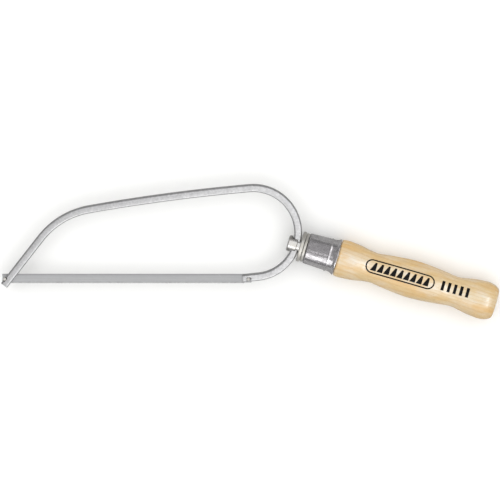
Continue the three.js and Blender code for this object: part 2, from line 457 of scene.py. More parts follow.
def make_bow(settings):
    stops = bow_line()
    section = rounded_section(settings.strip_width, settings.strip_depth, settings.edge_radius)
    bow = new_object("spring_bow", sweep(stops, section), bow_place)
    cut(bow, strip_cutters(settings, stops))
    break_edges(bow, STRIP_EDGE_BREAK * MM)
    return finish_piece(bow, plated_bow(settings), "bow", "plated_bow", "bow_strip")


# ---- blade ----
def tooth_line(settings, length):
    """Corners of the toothed edge from the nose: (distance, is it a tip, tooth number)."""
    corners = [(0.0, False, 0), (PLAIN_END * MM, False, 0)]
    count = int((length - 2 * PLAIN_END * MM) / settings.tooth_pitch)
    for number in range(count):
        root = PLAIN_END * MM + number * settings.tooth_pitch
        corners.append((root + TIP_SHARE * settings.tooth_pitch, True, number))
        corners.append((root + settings.tooth_pitch, False, number))
    corners.append((length, False, 0))
    return corners


def blade_mesh(settings, length, height, thickness):
    """A flat plate with bevelled back and wavy-set teeth, nose at the origin, back up."""
    bm = bmesh.new()
    bevel = BACK_BEVEL * MM
    half = thickness / 2
    neck = SET_DEPTHS * settings.tooth_depth - height
    columns = []
    for along, is_tip, number in tooth_line(settings, length):
        bend = settings.tooth_set * math.sin(2 * math.pi * number / TEETH_PER_WAVE)
        foot = -height if is_tip else settings.tooth_depth - height
        shift = bend if is_tip else ROOT_BEND * bend
        columns.append([
            bm.verts.new((along, drop, across)) for drop, across in (
                (0.0, half - bevel), (-bevel, half), (neck, half), (foot, half + shift),
                (foot, shift - half), (neck, -half), (-bevel, -half), (0.0, bevel - half),
            )
        ])
    for column, following in zip(columns, columns[1:]):
        join_rings(bm, column, following)
    bm.faces.new(columns[0])
    bm.faces.new(columns[-1])
    return bm


def pin_profile(length, radius):
    chamfer = 0.2
    dome = 0.02
    half = length / 2
    bevel = fillet((half - chamfer, radius - chamfer), chamfer, 90, 0, 4)
    back = [(-station, size) for station, size in reversed(bevel)]
    return [(-half - dome, 0.0), *back, *bevel, (half + dome, 0.0)]


def upright(centre):
    """A place whose local X axis stands square to the blade."""
    return Matrix.Translation(centre) @ Matrix.Rotation(-math.pi / 2, 4, "Y")


def make_blade(settings):
    size = blade_high - blade_low
    middle = (blade_low.z + blade_high.z) / 2
    place = Matrix.Translation((blade_low.x, blade_high.y, middle))
    blade = new_object(
        "toothed_blade", blade_mesh(settings, size.x, size.y, size.z), place
    )
    reach = 2.0
    bore = PIN_RADIUS + 0.02
    hole = [(-reach, 0.0), (-reach, bore), (reach, bore), (reach, 0.0)]
    cut(blade, [
        new_object("cutter", lathe(hole, 48), upright(centre)) for centre in (nose_pin, tail_pin)
    ])
    return finish_piece(
        blade, blade_steel(settings), "blade", "blade_steel", "saw_blade", crease=25.0
    )


def make_pins(clamp):
    steel = zinc_steel("pin_steel", dimmed(clamp.zinc, 0.7), clamp.zinc_dark, 0.42)
    low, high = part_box("front_blade_pin")
    length = (high.z - low.z) / MM
    for name, node, centre in (("nose_pin", "front_blade_pin", nose_pin),
                               ("tail_pin", "rear_blade_pin", tail_pin)):
        pin = new_object(name, lathe(pin_profile(length, PIN_RADIUS), 48), upright(centre))
        finish_piece(pin, steel, "blade", "pin_steel", node)


# ---- clamp ----
def threaded_shank(start, end, radius, pitch):
    """A rod with a helical V thread on it, in millimetres, closed at both ends."""
    thread_depth = 0.55 * pitch
    steps_per_turn = 8
    segments = 48
    steps = int((end - start) / pitch * steps_per_turn)
    bm = bmesh.new()
    rings = [round_ring(bm, start, [0.0])]
    for step in range(steps + 1):
        station = start + (end - start) * step / steps
        fade = min(1.0, (station - start) / pitch, (end - station) / pitch)
        core = radius - thread_depth * (1 - fade)
        phases = [(station / pitch - index / segments) % 1.0 for index in range(segments)]
        radii = [core - abs(2 * phase - 1) * thread_depth * fade for phase in phases]
        rings.append(round_ring(bm, station, radii))
    rings.append(round_ring(bm, end, [0.0]))
    for ring, following in zip(rings, rings[1:]):
        join_rings(bm, ring, following)
    return bm


def make_stud(clamp, bow):
    dome = 0.1
    corner = 0.9
    soft = 0.4
    crisp = 0.1
    rim = 0.3
    neck_end = STUD_SHOULDER + 4 * soft
    profile = [
        (STUD_HEAD - dome, 0.0), (STUD_HEAD, 0.7 * STUD_RADIUS),
        *fillet((STUD_HEAD + corner, STUD_RADIUS - corner), corner, 180, 90),
        *fillet((GROOVE[0] - soft, STUD_RADIUS - soft), soft, 90, 0, 4),
        (GROOVE[0], GROOVE_RADIUS), (GROOVE[1], GROOVE_RADIUS),
        *fillet((GROOVE[1] + crisp, STUD_RADIUS - crisp), crisp, 180, 90, 2),
        *fillet((STUD_SHOULDER - rim, STUD_RADIUS - rim), rim, 90, 0, 3),
        *fillet((STUD_SHOULDER + soft, SHANK_RADIUS + soft), soft, 180, 270, 3),
        (neck_end, SHANK_RADIUS), (neck_end, 0.0),
    ]
    stud = new_object("eye_bolt", lathe(profile, 96), handle_place)
    half_eye = bow.strip_depth / 2 + EYE_PLAY * MM
    reach = 2 * STUD_RADIUS * MM
    cut(stud, [box_cutter(
        Vector((EYE[0] * MM, -reach, -half_eye)), Vector((EYE[1] * MM, reach, half_eye)),
        handle_place, EYE_ROUNDING * MM, axis=1,
    )])
    break_edges(stud, 0.15 * MM)
    steel = zinc_steel("bolt_steel", clamp.bolt, clamp.zinc_dark, 0.24)
    finish_piece(stud, steel, "clamp", "zinc_steel", "clamp_stud")

    thread = threaded_shank(neck_end + 0.02, STUD_TIP, SHANK_RADIUS, clamp.thread_pitch / MM)
    shank = new_object("stud_thread", thread, handle_place)
    finish_piece(shank, steel, "clamp", "zinc_steel")


def washer_profile(start, end, radius):
    """A stamped washer: the front rim is rolled over, the back rim is nearly square."""
    roll = 0.55
    burr = 0.15
    return [
        (start, WASHER_BORE + burr),
        *fillet((start + roll, radius - roll), roll, 180, 90),
        *fillet((end - burr, radius - burr), burr, 90, 0, 3),
        (end, WASHER_BORE + roll),
        *fillet((end - roll, WASHER_BORE + roll), roll, 360, 270)[1:],
        (start + burr, WASHER_BORE), (start, WASHER_BORE + burr),
    ]


def make_washers(clamp):
    steel = zinc_steel("washer_steel", clamp.zinc, clamp.zinc_dark, 0.5)
    for name, node, (start, end, radius) in (
        ("clamp_washer", "front_washer", FRONT_WASHER),
        ("backing_washer", "back_washer", BACK_WASHER),
    ):
        washer = new_object(name, lathe(washer_profile(start, end, radius)), handle_place)
        finish_piece(washer, steel, "collar", "zinc_steel", node)


def plate_nut(clamp):
    """The nut sunk in the grip keeps its own mesh and gets zinc plate."""
    slots = frame["nodes"]["handle_nut"].data.materials
    slots.clear()
    slots.append(zinc_steel("nut_steel", clamp.zinc, clamp.zinc_dark, 0.4))


# ---- handle ----
def ferrule_profile():
    """A drawn cap: rolled front edge, slight taper, proud bead, and a lip that flares to the wood."""
    wall = 0.9
    hole = 3.25
    front = FERRULE_FRONT
    inside = front + 1.5
    outer = [
        *fillet((front + 1.0, 9.3 - 1.0), 1.0, 180, 90, 6),
        (36.0, 9.36), (41.0, 9.55), (46.3, 9.75),
        *fillet((47.0, 9.7), 0.47, 165, 15, 8),
        (47.7, 9.75), (48.6, 9.78), (49.6, 9.88), (50.4, 10.08), (51.0, 10.42), (51.5, 10.86),
        *fillet((52.1, 10.7), 0.3, 100, 0, 4),
    ]
    inner = [
        (FERRULE_END, 10.3), (50.6, 10.08 - wall), (47.0, 9.72 - wall), (36.0, 9.3 - wall),
        (inside + 0.6, 9.3 - wall), (inside, 9.3 - wall - 0.6), (inside, hole + 0.1),
        (inside - 0.1, hole), (front + 0.1, hole), (front, hole + 0.1),
    ]
    return [*outer, *inner, outer[0]]


def make_ferrule(settings):
    ferrule = new_object("bright_ferrule", lathe(ferrule_profile(), 160), handle_place)
    return finish_piece(
        ferrule, ferrule_chrome(settings), "handle", "ferrule_chrome", "ferrule"
    )


def grip_radius(station):
    """Radius of the grip at a station, in millimetres."""
    line = smooth_line(HANDLE_OUTLINE, OUTLINE_STEPS)
    for (start, near), (end, far) in zip(line, line[1:]):
        if start <= station <= end:
            return near + (far - near) * (station - start) / (end - start)
    raise ValueError(f"station {station} isn't on the grip")


def handle_profile():
    shoulder, shoulder_radius = HANDLE_OUTLINE[-1]
    chamfer = 0.35
    outline = smooth_line(HANDLE_OUTLINE, OUTLINE_STEPS)
    front = [(HANDLE_FRONT, 9.7), (HANDLE_FRONT, 11.1 - chamfer)]
    front += [(station, size) for station, size in outline if station > HANDLE_FRONT + chamfer]
    butt = []
    steps = 14
    for step in range(1, steps + 1):
        angle = math.pi / 2 * step / steps
        butt.append((
            shoulder + (BUTT_STATION - shoulder) * math.sin(angle),
            BUTT_RADIUS + (shoulder_radius - BUTT_RADIUS) * math.cos(angle),
        ))
    bore = [
        (76.0, 0.0), (72.5, 3.5), (40.2, 3.5), (40.2, 6.15), (TENON_START, 6.15),
        (TENON_START, TENON_RADIUS - 0.3), (TENON_START + 0.3, TENON_RADIUS),
        (47.0, TENON_RADIUS), (50.5, 8.9), (52.2, 9.7),
    ]
    return [*bore, *front, *butt, (BUTT_STATION, BUTT_RADIUS / 2), (BUTT_STATION, 0.0)]


def make_wood(settings):
    wood = new_object("turned_grip", lathe(handle_profile(), 160), handle_place)
    return finish_piece(
        wood, lacquered_wood(settings), "handle", "lacquered_wood", "wood_handle"
    )


def on_grip(station, arc, lift):
    """A point over the grip: station along it, arc length round it, in millimetres."""
    radius = grip_radius(station)
    angle = math.radians(90 - MARK_TURN) - arc / radius
    radius += lift
    return Vector((station, radius * math.cos(angle), radius * math.sin(angle))) * MM


def ink_patch(bm, spot, columns, rows, closed=False):
    """A thin film over the grip; spot gives (station, arc) for shares along and across it."""
    layers = []
    for lift in (INK_FILM, -INK_FILM):
        layers.append([
            [bm.verts.new(on_grip(*spot(i / columns, j / rows), lift)) for j in range(rows + 1)]
            for i in range(columns if closed else columns + 1)
        ])
    top, under = layers
    count = len(top)
    for i in range(columns):
        after = (i + 1) % count
        for j in range(rows):
            for layer in layers:
                bm.faces.new([layer[i][j], layer[after][j], layer[after][j + 1], layer[i][j + 1]])
        for j in (0, rows):
            bm.faces.new([top[i][j], top[after][j], under[after][j], under[i][j]])
    if not closed:
        for i in (0, columns):
            for j in range(rows):
                bm.faces.new([top[i][j], top[i][j + 1], under[i][j + 1], under[i][j]])


def badge_spot(share, across):
    """The badge's outline: two straight runs joined by half circles."""
    half = BADGE_HEIGHT / 2
    start, end = BADGE_SPAN[0] + half, BADGE_SPAN[1] - half
    run = end - start
    bend = math.pi * half
    size = half - BADGE_LINE * across
    way = share * 2 * (run + bend)
    if way < run:
        return start + way, size
    if way < run + bend:
        angle = math.pi / 2 - (way - run) / half
        return end + size * math.cos(angle), size * math.sin(angle)
    if way < 2 * run + bend:
        return end - (way - run - bend), -size
    angle = -math.pi / 2 - (way - 2 * run - bend) / half
    return start + size * math.cos(angle), size * math.sin(angle)


def quad_spot(left, right, lean, height, centre=0.0):
    """An upright mark from left to right whose top narrows by lean on its left side."""
    def spot(along, across):
        near = left + lean * across
        return near + (right - near) * along, centre + height * (across - 0.5)
    return spot


def make_marks(settings):
    bm = bmesh.new()
    ink_patch(bm, badge_spot, 160, 2, closed=True)
    pitch = (TOOTH_SPAN[1] - TOOTH_SPAN[0]) / TOOTH_COUNT
    for number in range(TOOTH_COUNT):
        left = TOOTH_SPAN[0] + number * pitch
        right = left + TOOTH_FILL * pitch
        ink_patch(bm, quad_spot(left, right, TOOTH_RAKE * pitch, TOOTH_HEIGHT), 6, 10)
    pitch = (BAR_SPAN[1] - BAR_SPAN[0]) / BAR_COUNT
    for number in range(BAR_COUNT):
        left = BAR_SPAN[0] + number * pitch
        right = left + BAR_FILL * pitch
        ink_patch(bm, quad_spot(left, right, 0.0, BAR_HEIGHT, BAR_RAISE), 4, 12)
    marks = new_object("grip_marks", bm, handle_place)
    return finish_piece(marks, printed_ink(settings), "handle", "lacquered_wood")


# ---- node tools ----
def feed(tree, socket, value):
    """Links a socket to the input, or sets a constant on it."""
    if isinstance(value, bpy.types.NodeSocket):
        tree.links.new(value, socket)
    else:
        socket.default_value = value


def add_node(tree, kind, inputs=None, **settings):
    made = tree.nodes.new(kind)
    for name, value in settings.items():
        setattr(made, name, value)
    for name, value in (inputs or {}).items():
        feed(tree, made.inputs[name], value)
    return made


def maths(tree, operation, first, second=0.0):
    inputs = {0: first, 1: second}
    return add_node(tree, "ShaderNodeMath", inputs, operation=operation).outputs[0]


def stretch(tree, vector, scale, turn=(0.0, 0.0, 0.0)):
    """Scales a vector, after turning it by angles in radians."""
    turned = add_node(tree, "ShaderNodeMapping", {"Vector": vector, "Rotation": turn})
    inputs = {0: turned.outputs[0], 1: scale}
    return add_node(tree, "ShaderNodeVectorMath", inputs, operation="MULTIPLY").outputs[0]


def noise(tree, vector, scale=1.0, detail=3.0, roughness=0.5):
    inputs = {"Vector": vector, "Scale": scale, "Detail": detail, "Roughness": roughness}
    return add_node(tree, "ShaderNodeTexNoise", inputs).outputs["Fac"]


def fit(tree, value, low, high, to_low=0.0, to_high=1.0, smooth=False):
    """Maps low..high to to_low..to_high and clamps."""
    made = add_node(tree, "ShaderNodeMapRange", {
        "Value": value, "From Min": low, "From Max": high, "To Min": to_low, "To Max": to_high,
    })
    if smooth:
        made.interpolation_type = "SMOOTHSTEP"
    return made.outputs[0]


def mix(tree, share, first, second):
    """Goes from the first colour to the second as the share goes from 0 to 1."""
    inputs = {0: share, 6: first, 7: second}  # the node's factor and colour sockets
    return add_node(tree, "ShaderNodeMix", inputs, data_type="RGBA").outputs[2]


def cover(tree, mask, strength, under, over):
    """Lays a colour over another where the mask is, at part of its full strength."""
    return mix(tree, maths(tree, "MULTIPLY", mask, strength), under, over)


def dimmed(colour, share):
    """A colour at a share of its brightness."""
    return (*[share * value for value in colour[:3]], 1.0)


def bump(tree, height, distance, strength, under=None):
    """Raises the surface by a height; under is the normal that it is raised from."""
    inputs = {"Height": height, "Distance": distance, "Strength": strength}
    if under:
        inputs["Normal"] = under
    return add_node(tree, "ShaderNodeBump", inputs).outputs["Normal"]


def new_material(name):
    """A node material, its tree and the place on the object that its patterns follow."""
    material = bpy.data.materials.new(name)
    material.use_nodes = True
    tree = material.node_tree
    return material, tree, tree.nodes.new("ShaderNodeTexCoord").outputs["Object"]


def shade(tree, values):
    """Feeds the material's Principled shader."""
    for name, value in values.items():
        feed(tree, tree.nodes["Principled BSDF"].inputs[name], value)


def new_group(name, inputs, outputs):
    """An empty node group with named sockets. Inputs are (label, kind, default)."""
    group = bpy.data.node_groups.new(name, "ShaderNodeTree")
    for label, kind, default in inputs:
        socket = group.interface.new_socket(name=label, in_out="INPUT", socket_type=kind)
        if default is not None:
            socket.default_value = default
    for label, kind in outputs:
        group.interface.new_socket(name=label, in_out="OUTPUT", socket_type=kind)
    source = group.nodes.new("NodeGroupInput")
    sink = group.nodes.new("NodeGroupOutput")
    return group, source.outputs, sink.inputs


def place_group(tree, build, inputs):
    """Puts a node group into a material, building it the first time, and sets its inputs."""
    name = build.__name__
    group = bpy.data.node_groups.get(name) or build(name)
    made = tree.nodes.new("ShaderNodeGroup")
    made.node_tree = group
    for label, value in inputs.items():
        feed(tree, made.inputs[label], value)
    return made.outputs


FLOAT = "NodeSocketFloat"
VECTOR = "NodeSocketVector"


# ---- effects shared by materials ----
def drawn_lines(name):
    """Fine lines left by drawing, rolling or turning: long one way, close together the other."""
    group, given, made = new_group(
        name,
        [("Vector", VECTOR, None), ("Line Scale", VECTOR, (40.0, 4000.0, 4000.0)),
         ("Broad Scale", VECTOR, (12.0, 900.0, 900.0))],
        [("Fine", FLOAT), ("Broad", FLOAT)],
    )
    for label, scale, detail in (("Fine", "Line Scale", 2.0), ("Broad", "Broad Scale", 3.0)):
        inputs = {0: given["Vector"], 1: given[scale]}
        stretched = add_node(group, "ShaderNodeVectorMath", inputs, operation="MULTIPLY")
        lines = noise(group, stretched.outputs[0], detail=detail)
        feed(group, made[label], fit(group, lines, 0.3, 0.7))
    return group


def surface_mottle(name):
    """Uneven plating or polish: soft clouds with a finer speckle over them."""
    group, given, made = new_group(
        name,
        [("Vector", VECTOR, None), ("Scale", FLOAT, 200.0), ("Speckle", FLOAT, 0.35)],
        [("Clouds", FLOAT), ("Mottle", FLOAT)],
    )
    clouds = fit(group, noise(group, given["Vector"], given["Scale"], 4.0, 0.6), 0.32, 0.68)
    fine_scale = maths(group, "MULTIPLY", given["Scale"], 9.0)
    speckle = fit(group, noise(group, given["Vector"], fine_scale, 2.0, 0.7), 0.3, 0.7)
    part = maths(group, "MULTIPLY", speckle, given["Speckle"])
    rest = maths(group, "SUBTRACT", 1.0, given["Speckle"])
    feed(group, made["Clouds"], clouds)
    feed(group, made["Mottle"], maths(group, "ADD", part, maths(group, "MULTIPLY", clouds, rest)))
    return group


def fine_scratches(name):
    """Sparse hairline scratches in two directions."""
    group, given, made = new_group(
        name,
        [("Vector", VECTOR, None), ("Density", FLOAT, 0.5)],
        [("Scratches", FLOAT)],
    )
    edge = fit(group, given["Density"], 0.0, 1.0, 0.74, 0.6)
    brink = maths(group, "ADD", edge, 0.035)
    found = []
    for turn, scale in (((0.3, 0.2, 0.5), (60.0, 2600.0, 900.0)),
                        ((-0.4, 0.5, -0.9), (2300.0, 70.0, 800.0))):
        lines = noise(group, stretch(group, given["Vector"], scale, turn), detail=1.0)
        found.append(fit(group, lines, edge, brink))
    feed(group, made["Scratches"], maths(group, "MAXIMUM", *found))
    return group


def edge_wear(name):
    """Raised edges, found from the mesh's own sharp edges and broken up by noise. The bow darkens them
    as painted shade; the plated parts darken them as rubbed plate.
    """
    group, given, made = new_group(
        name,
        [("Vector", VECTOR, None), ("Reach", FLOAT, 0.06), ("Breakup", FLOAT, 500.0)],
        [("Wear", FLOAT)],
    )
    point = group.nodes.new("ShaderNodeNewGeometry").outputs["Pointiness"]
    end = maths(group, "ADD", 0.5, given["Reach"])
    raised = fit(group, point, 0.505, end)
    patches = fit(group, noise(group, given["Vector"], given["Breakup"], 3.0), 0.35, 0.6)
    feed(group, made["Wear"], maths(group, "MULTIPLY", raised, patches))
    return group


def wood_figure(name):
    """Straight-grained pale hardwood turned on a lathe. The fibres run along X."""
    group, given, made = new_group(
        name,
        [("Vector", VECTOR, None), ("Ring Spacing", FLOAT, 0.0021)],
        [("Rings", FLOAT), ("Fibres", FLOAT), ("Flecks", FLOAT), ("Tone", FLOAT)],
    )
    vector = given["Vector"]
    grain_slope = 0.035
    pith = (-0.055, 0.021)
    sway = noise(group, stretch(group, vector, (17.0, 50.0, 50.0)), detail=3.0)
    parts = add_node(group, "ShaderNodeSeparateXYZ", {0: vector}).outputs
    across = maths(group, "ADD", parts["Y"], maths(group, "MULTIPLY", parts["X"], grain_slope))
    sides = [
        maths(group, "SUBTRACT", place, centre) for place, centre in zip((across, parts["Z"]), pith)
    ]
    squares = [maths(group, "MULTIPLY", side, side) for side in sides]
    reach = maths(group, "SQRT", maths(group, "ADD", *squares))
    warped = maths(group, "ADD", reach, maths(group, "MULTIPLY", sway, 0.0065))
    turns = maths(group, "DIVIDE", warped, given["Ring Spacing"])
    saw = maths(group, "FRACT", turns)
    late = fit(group, saw, 0.45, 0.93, smooth=True)
    early = fit(group, saw, 0.93, 1.0, 1.0, 0.0, smooth=True)
    feed(group, made["Rings"], maths(group, "MULTIPLY", late, early))
    fibres = noise(group, stretch(group, vector, (45.0, 2400.0, 2400.0)), detail=4.0, roughness=0.65)
    feed(group, made["Fibres"], fit(group, fibres, 0.3, 0.7))
    flecks = noise(group, stretch(group, vector, (170.0, 3300.0, 3300.0)), detail=1.0)
    feed(group, made["Flecks"], fit(group, flecks, 0.66, 0.74))
    tone = noise(group, stretch(group, vector, (26.0, 120.0, 120.0)), detail=3.0, roughness=0.6)
    feed(group, made["Tone"], fit(group, tone, 0.36, 0.58))
    return group


# ---- materials ----
def plated_bow(settings):
    """Satin nickel plate over rolled spring steel, with faint lines along the strip and painted shade
    darkening its raised edges.
    """
    material, tree, place = new_material("plated_bow")
    along = add_node(tree, "ShaderNodeUVMap", uv_map="along_strip").outputs[0]
    lines = place_group(tree, drawn_lines, {
        "Vector": along, "Line Scale": (60.0, 5200.0, 1.0), "Broad Scale": (18.0, 1300.0, 1.0),
    })
    mottle = place_group(tree, surface_mottle, {"Vector": place, "Scale": 850.0, "Speckle": 0.35})
    wear_and_shade = place_group(tree, edge_wear, {"Vector": place})["Wear"]
    scratches = place_group(tree, fine_scratches, {"Vector": place, "Density": 0.35})["Scratches"]
    blotch = mix(tree, mottle["Mottle"], settings.plate_dark, settings.plate)
    streaked = cover(tree, lines["Broad"], 0.4, blotch, settings.plate)
    # painted shade: the strip's raised edges are darkened toward dull plate, standing in for the dark
    # lines that the lighting gives its edges
    edge_shaded = cover(tree, wear_and_shade, 0.3, streaked, dimmed(settings.plate_dark, 0.55))
    colour = cover(tree, scratches, 0.3, edge_shaded, settings.plate)
    rough = fit(tree, mottle["Clouds"], 0.0, 1.0, 0.38, 0.29)
    relief = maths(tree, "ADD", maths(tree, "MULTIPLY", lines["Fine"], 0.5), mottle["Mottle"])
    shade(tree, {
        "Metallic": 1.0, "Base Color": colour,
        "Roughness": maths(tree, "ADD", rough, maths(tree, "MULTIPLY", lines["Fine"], 0.06)),
        "Normal": bump(tree, relief, 0.000018, 0.6),
    })
    return material


def blade_steel(settings):
    """Ground blade: lines along it, painted shade darkening it towards the back, and dark specks along
    the toothed edge.
    """
    material, tree, place = new_material("blade_steel")
    drop = add_node(tree, "ShaderNodeSeparateXYZ", {0: place}).outputs["Y"]
    height = (blade_high - blade_low).y
    lines = place_group(tree, drawn_lines, {
        "Vector": place, "Line Scale": (90.0, 6000.0, 500.0), "Broad Scale": (25.0, 1500.0, 300.0),
    })
    mottle = place_group(tree, surface_mottle, {"Vector": place, "Scale": 300.0})
    scratches = place_group(tree, fine_scratches, {"Vector": place, "Density": 0.5})["Scratches"]
    ground = cover(tree, lines["Broad"], 0.35, settings.steel, settings.steel_dark)
    clouded = cover(tree, mottle["Clouds"], 0.25, ground, settings.steel_dark)
    # painted shade: the top band of the blade is darkened toward its back edge
    back = fit(tree, drop, -0.3 * height, -0.02 * height, 0.0, 0.75, smooth=True)
    foot = fit(tree, drop, -0.78 * height, -0.88 * height, smooth=True)
    # darker specks along the toothed edge, broken up by noise
    tooth_speckle = fit(tree, noise(tree, place, 480.0, 2.0), 0.44, 0.58, 0.35, 1.0)
    dark_tooth_specks = maths(tree, "MULTIPLY", foot, tooth_speckle)
    banded = mix(tree, maths(tree, "MAXIMUM", back, dark_tooth_specks), clouded, settings.steel_dark)
    colour = cover(tree, scratches, 0.35, banded, settings.steel)
    rough = fit(tree, mottle["Mottle"], 0.0, 1.0, 0.55, 0.43)
    shade(tree, {
        "Metallic": 1.0, "Base Color": colour, "Roughness": rough,
        "Normal": bump(tree, lines["Fine"], 0.000015, 0.5),
    })
    return material


def zinc_steel(name, bright, dark, rough):
    """Bright zinc plate, a little warm, clouded and scratched."""
    material, tree, place = new_material(name)
    mottle = place_group(tree, surface_mottle, {"Vector": place, "Scale": 330.0})
    wear_and_shade = place_group(tree, edge_wear, {"Vector": place})["Wear"]
    scratches = place_group(tree, fine_scratches, {"Vector": place, "Density": 0.6})["Scratches"]
    clouded = cover(tree, mottle["Mottle"], 0.55, bright, dark)
    warm = (bright[0], 0.95 * bright[1], 0.85 * bright[2], 1.0)
    tinted = cover(tree, mottle["Clouds"], 0.5, clouded, warm)
    colour = cover(tree, wear_and_shade, 0.35, tinted, dark)
    lifted = maths(tree, "MULTIPLY", scratches, 0.15)
    clouds = fit(tree, mottle["Clouds"], 0.0, 1.0, rough - 0.07, rough + 0.07)
    shade(tree, {
        "Metallic": 1.0, "Base Color": colour, "Roughness": maths(tree, "ADD", clouds, lifted),
        "Normal": bump(tree, mottle["Mottle"], 0.00002, 0.5),
    })
    return material


def ferrule_chrome(settings):
    """Polished plate over drawn steel: slightly wavy, with turning lines and hairline scratches."""
    material, tree, place = new_material("ferrule_chrome")
    lines = place_group(tree, drawn_lines, {
        "Vector": place, "Line Scale": (7000.0, 25.0, 25.0), "Broad Scale": (1500.0, 20.0, 20.0),
    })
    mottle = place_group(tree, surface_mottle, {"Vector": place, "Scale": 520.0})
    wear_and_shade = place_group(tree, edge_wear, {"Vector": place})["Wear"]
    scratches = place_group(tree, fine_scratches, {"Vector": place, "Density": 0.2})["Scratches"]
    tarnish = dimmed(settings.chrome, 0.62)
    streaks = noise(tree, stretch(tree, place, (90.0, 900.0, 900.0)), detail=3.0, roughness=0.6)
    uneven = fit(tree, maths(tree, "ADD", streaks, mottle["Mottle"]), 0.55, 1.25)
    clouded = mix(tree, uneven, settings.chrome, tarnish)
    colour = cover(tree, wear_and_shade, 0.3, clouded, tarnish)
    rough = fit(tree, mottle["Clouds"], 0.0, 1.0, 0.16, 0.3)
    scuffed = maths(tree, "ADD", rough, maths(tree, "MULTIPLY", scratches, 0.12))
    wave = noise(tree, stretch(tree, place, (130.0, 420.0, 420.0)), detail=3.0, roughness=0.65)
    waves = bump(tree, wave, 0.0004, 0.5)
    turned = bump(tree, lines["Fine"], 0.000006, 0.5, waves)
    shade(tree, {
        "Metallic": 1.0, "Base Color": colour, "Roughness": scuffed, "Normal": turned,
    })
    return material


def lacquered_wood(settings):
    """Pale hardwood with fine streaks along it under clear lacquer."""
    material, tree, place = new_material("lacquered_wood")
    figure = place_group(tree, wood_figure, {"Vector": place})
    smudge = place_group(tree, surface_mottle, {
        "Vector": stretch(tree, place, (0.7, 1.0, 1.0)), "Scale": 150.0, "Speckle": 0.25,
    })["Mottle"]
    red, green, blue = settings.wood[:3]
    honey = (red, 0.87 * green, 0.68 * blue, 1.0)
    cream = (min(1.0, 1.04 * red), min(1.0, 1.13 * green), min(1.0, 1.45 * blue), 1.0)
    patches = fit(tree, noise(tree, stretch(tree, place, (75.0, 170.0, 170.0))), 0.46, 0.62)
    body = cover(tree, patches, 0.8, mix(tree, figure["Tone"], honey, settings.wood), cream)
    ringed = cover(tree, figure["Rings"], 0.33, body, settings.grain)
    fibred = cover(tree, figure["Fibres"], 0.3, ringed, settings.grain)
    colour = cover(tree, figure["Flecks"], 0.4, fibred, dimmed(settings.grain, 0.62))
    relief = maths(tree, "ADD", maths(tree, "MULTIPLY", figure["Fibres"], 0.5), figure["Rings"])
    shade(tree, {
        "Base Color": colour,
        "Roughness": fit(tree, figure["Fibres"], 0.0, 1.0, 0.42, 0.55),
        "Normal": bump(tree, relief, 0.00003, 0.35),
        "Coat Weight": fit(tree, smudge, 0.3, 0.7, 1.0, 0.12),
        "Coat Roughness": fit(tree, smudge, 0.25, 0.75, 0.16, 0.34),
        "Coat IOR": 1.5,
    })
    return material


def printed_ink(settings):
    """Black printing ink, slightly thin where the roller missed the grain."""
    material, tree, place = new_material("printed_ink")
    speckle = noise(tree, stretch(tree, place, (900.0, 3200.0, 3200.0)), detail=2.0)
    thin = fit(tree, speckle, 0.6, 0.75, 0.0, 0.35)
    faded = (0.05, 0.038, 0.025, 1.0)
    shade(tree, {
        "Base Color": mix(tree, thin, settings.ink, faded),
        "Roughness": fit(tree, speckle, 0.3, 0.7, 0.55, 0.7),
        "Specular IOR Level": 0.15,
        "Normal": bump(tree, speckle, 0.00001, 0.4),
    })
    return material


def pale_floor(settings):
    """Smooth pale board with a barely visible unevenness; where the metal parts reflect it, it is
    painted darker, as a painted dark reflection.
    """
    material, tree, place = new_material("pale_floor")
    mottle = place_group(tree, surface_mottle, {"Vector": place, "Scale": 14.0})["Mottle"]
    plain = mix(tree, mottle, settings.floor, dimmed(settings.floor, 0.985))
    # painted reflection: the floor is darkened only in glossy rays, so the metal parts reflect it dim
    mirrored = tree.nodes.new("ShaderNodeLightPath").outputs["Is Glossy Ray"]
    shade(tree, {
        "Base Color": mix(tree, mirrored, plain, dimmed(settings.floor, 0.4)),
        "Roughness": fit(tree, mottle, 0.0, 1.0, 0.75, 0.85),
        "Specular IOR Level": 0.2,
    })
    return material


# ---- stage ----
def aim(direction, up):
    """A rotation that looks along -direction with up as nearly upward as can be."""
    back = direction.normalized()
    right = up.cross(back).normalized()
    return Matrix((right, back.cross(right), back)).transposed().to_4x4()


def make_floor(settings):
    bm = bmesh.new()
    bmesh.ops.create_grid(bm, x_segments=8, y_segments=8, size=FLOOR_REACH)
    floor = new_object("floor", bm)
    floor.data.materials.append(pale_floor(settings))


def lean(radians):
    """Direction leaning from straight up toward the back of the bow."""
    toward_back = Vector((-handle_axis.y, handle_axis.x, 0.0))
    return math.cos(radians) * Vector((0, 0, 1)) + math.sin(radians) * toward_back


def make_camera(settings):
    direction = lean(settings.camera_tilt)
    target = back_centre + VIEW_OFFSET * MM
    data = bpy.data.cameras.new("camera")
    data.sensor_width = 36.0
    data.lens = data.sensor_width * settings.camera_distance / settings.picture_span
    data.clip_start = 0.05
    data.clip_end = 50.0
    camera = bpy.data.objects.new("camera", data)
    bpy.context.collection.objects.link(camera)
    turn = aim(direction, direction.cross(Vector((1, 0, 0))))
    camera.matrix_world = Matrix.Translation(target + settings.camera_distance * direction) @ turn
    bpy.context.scene.camera = camera


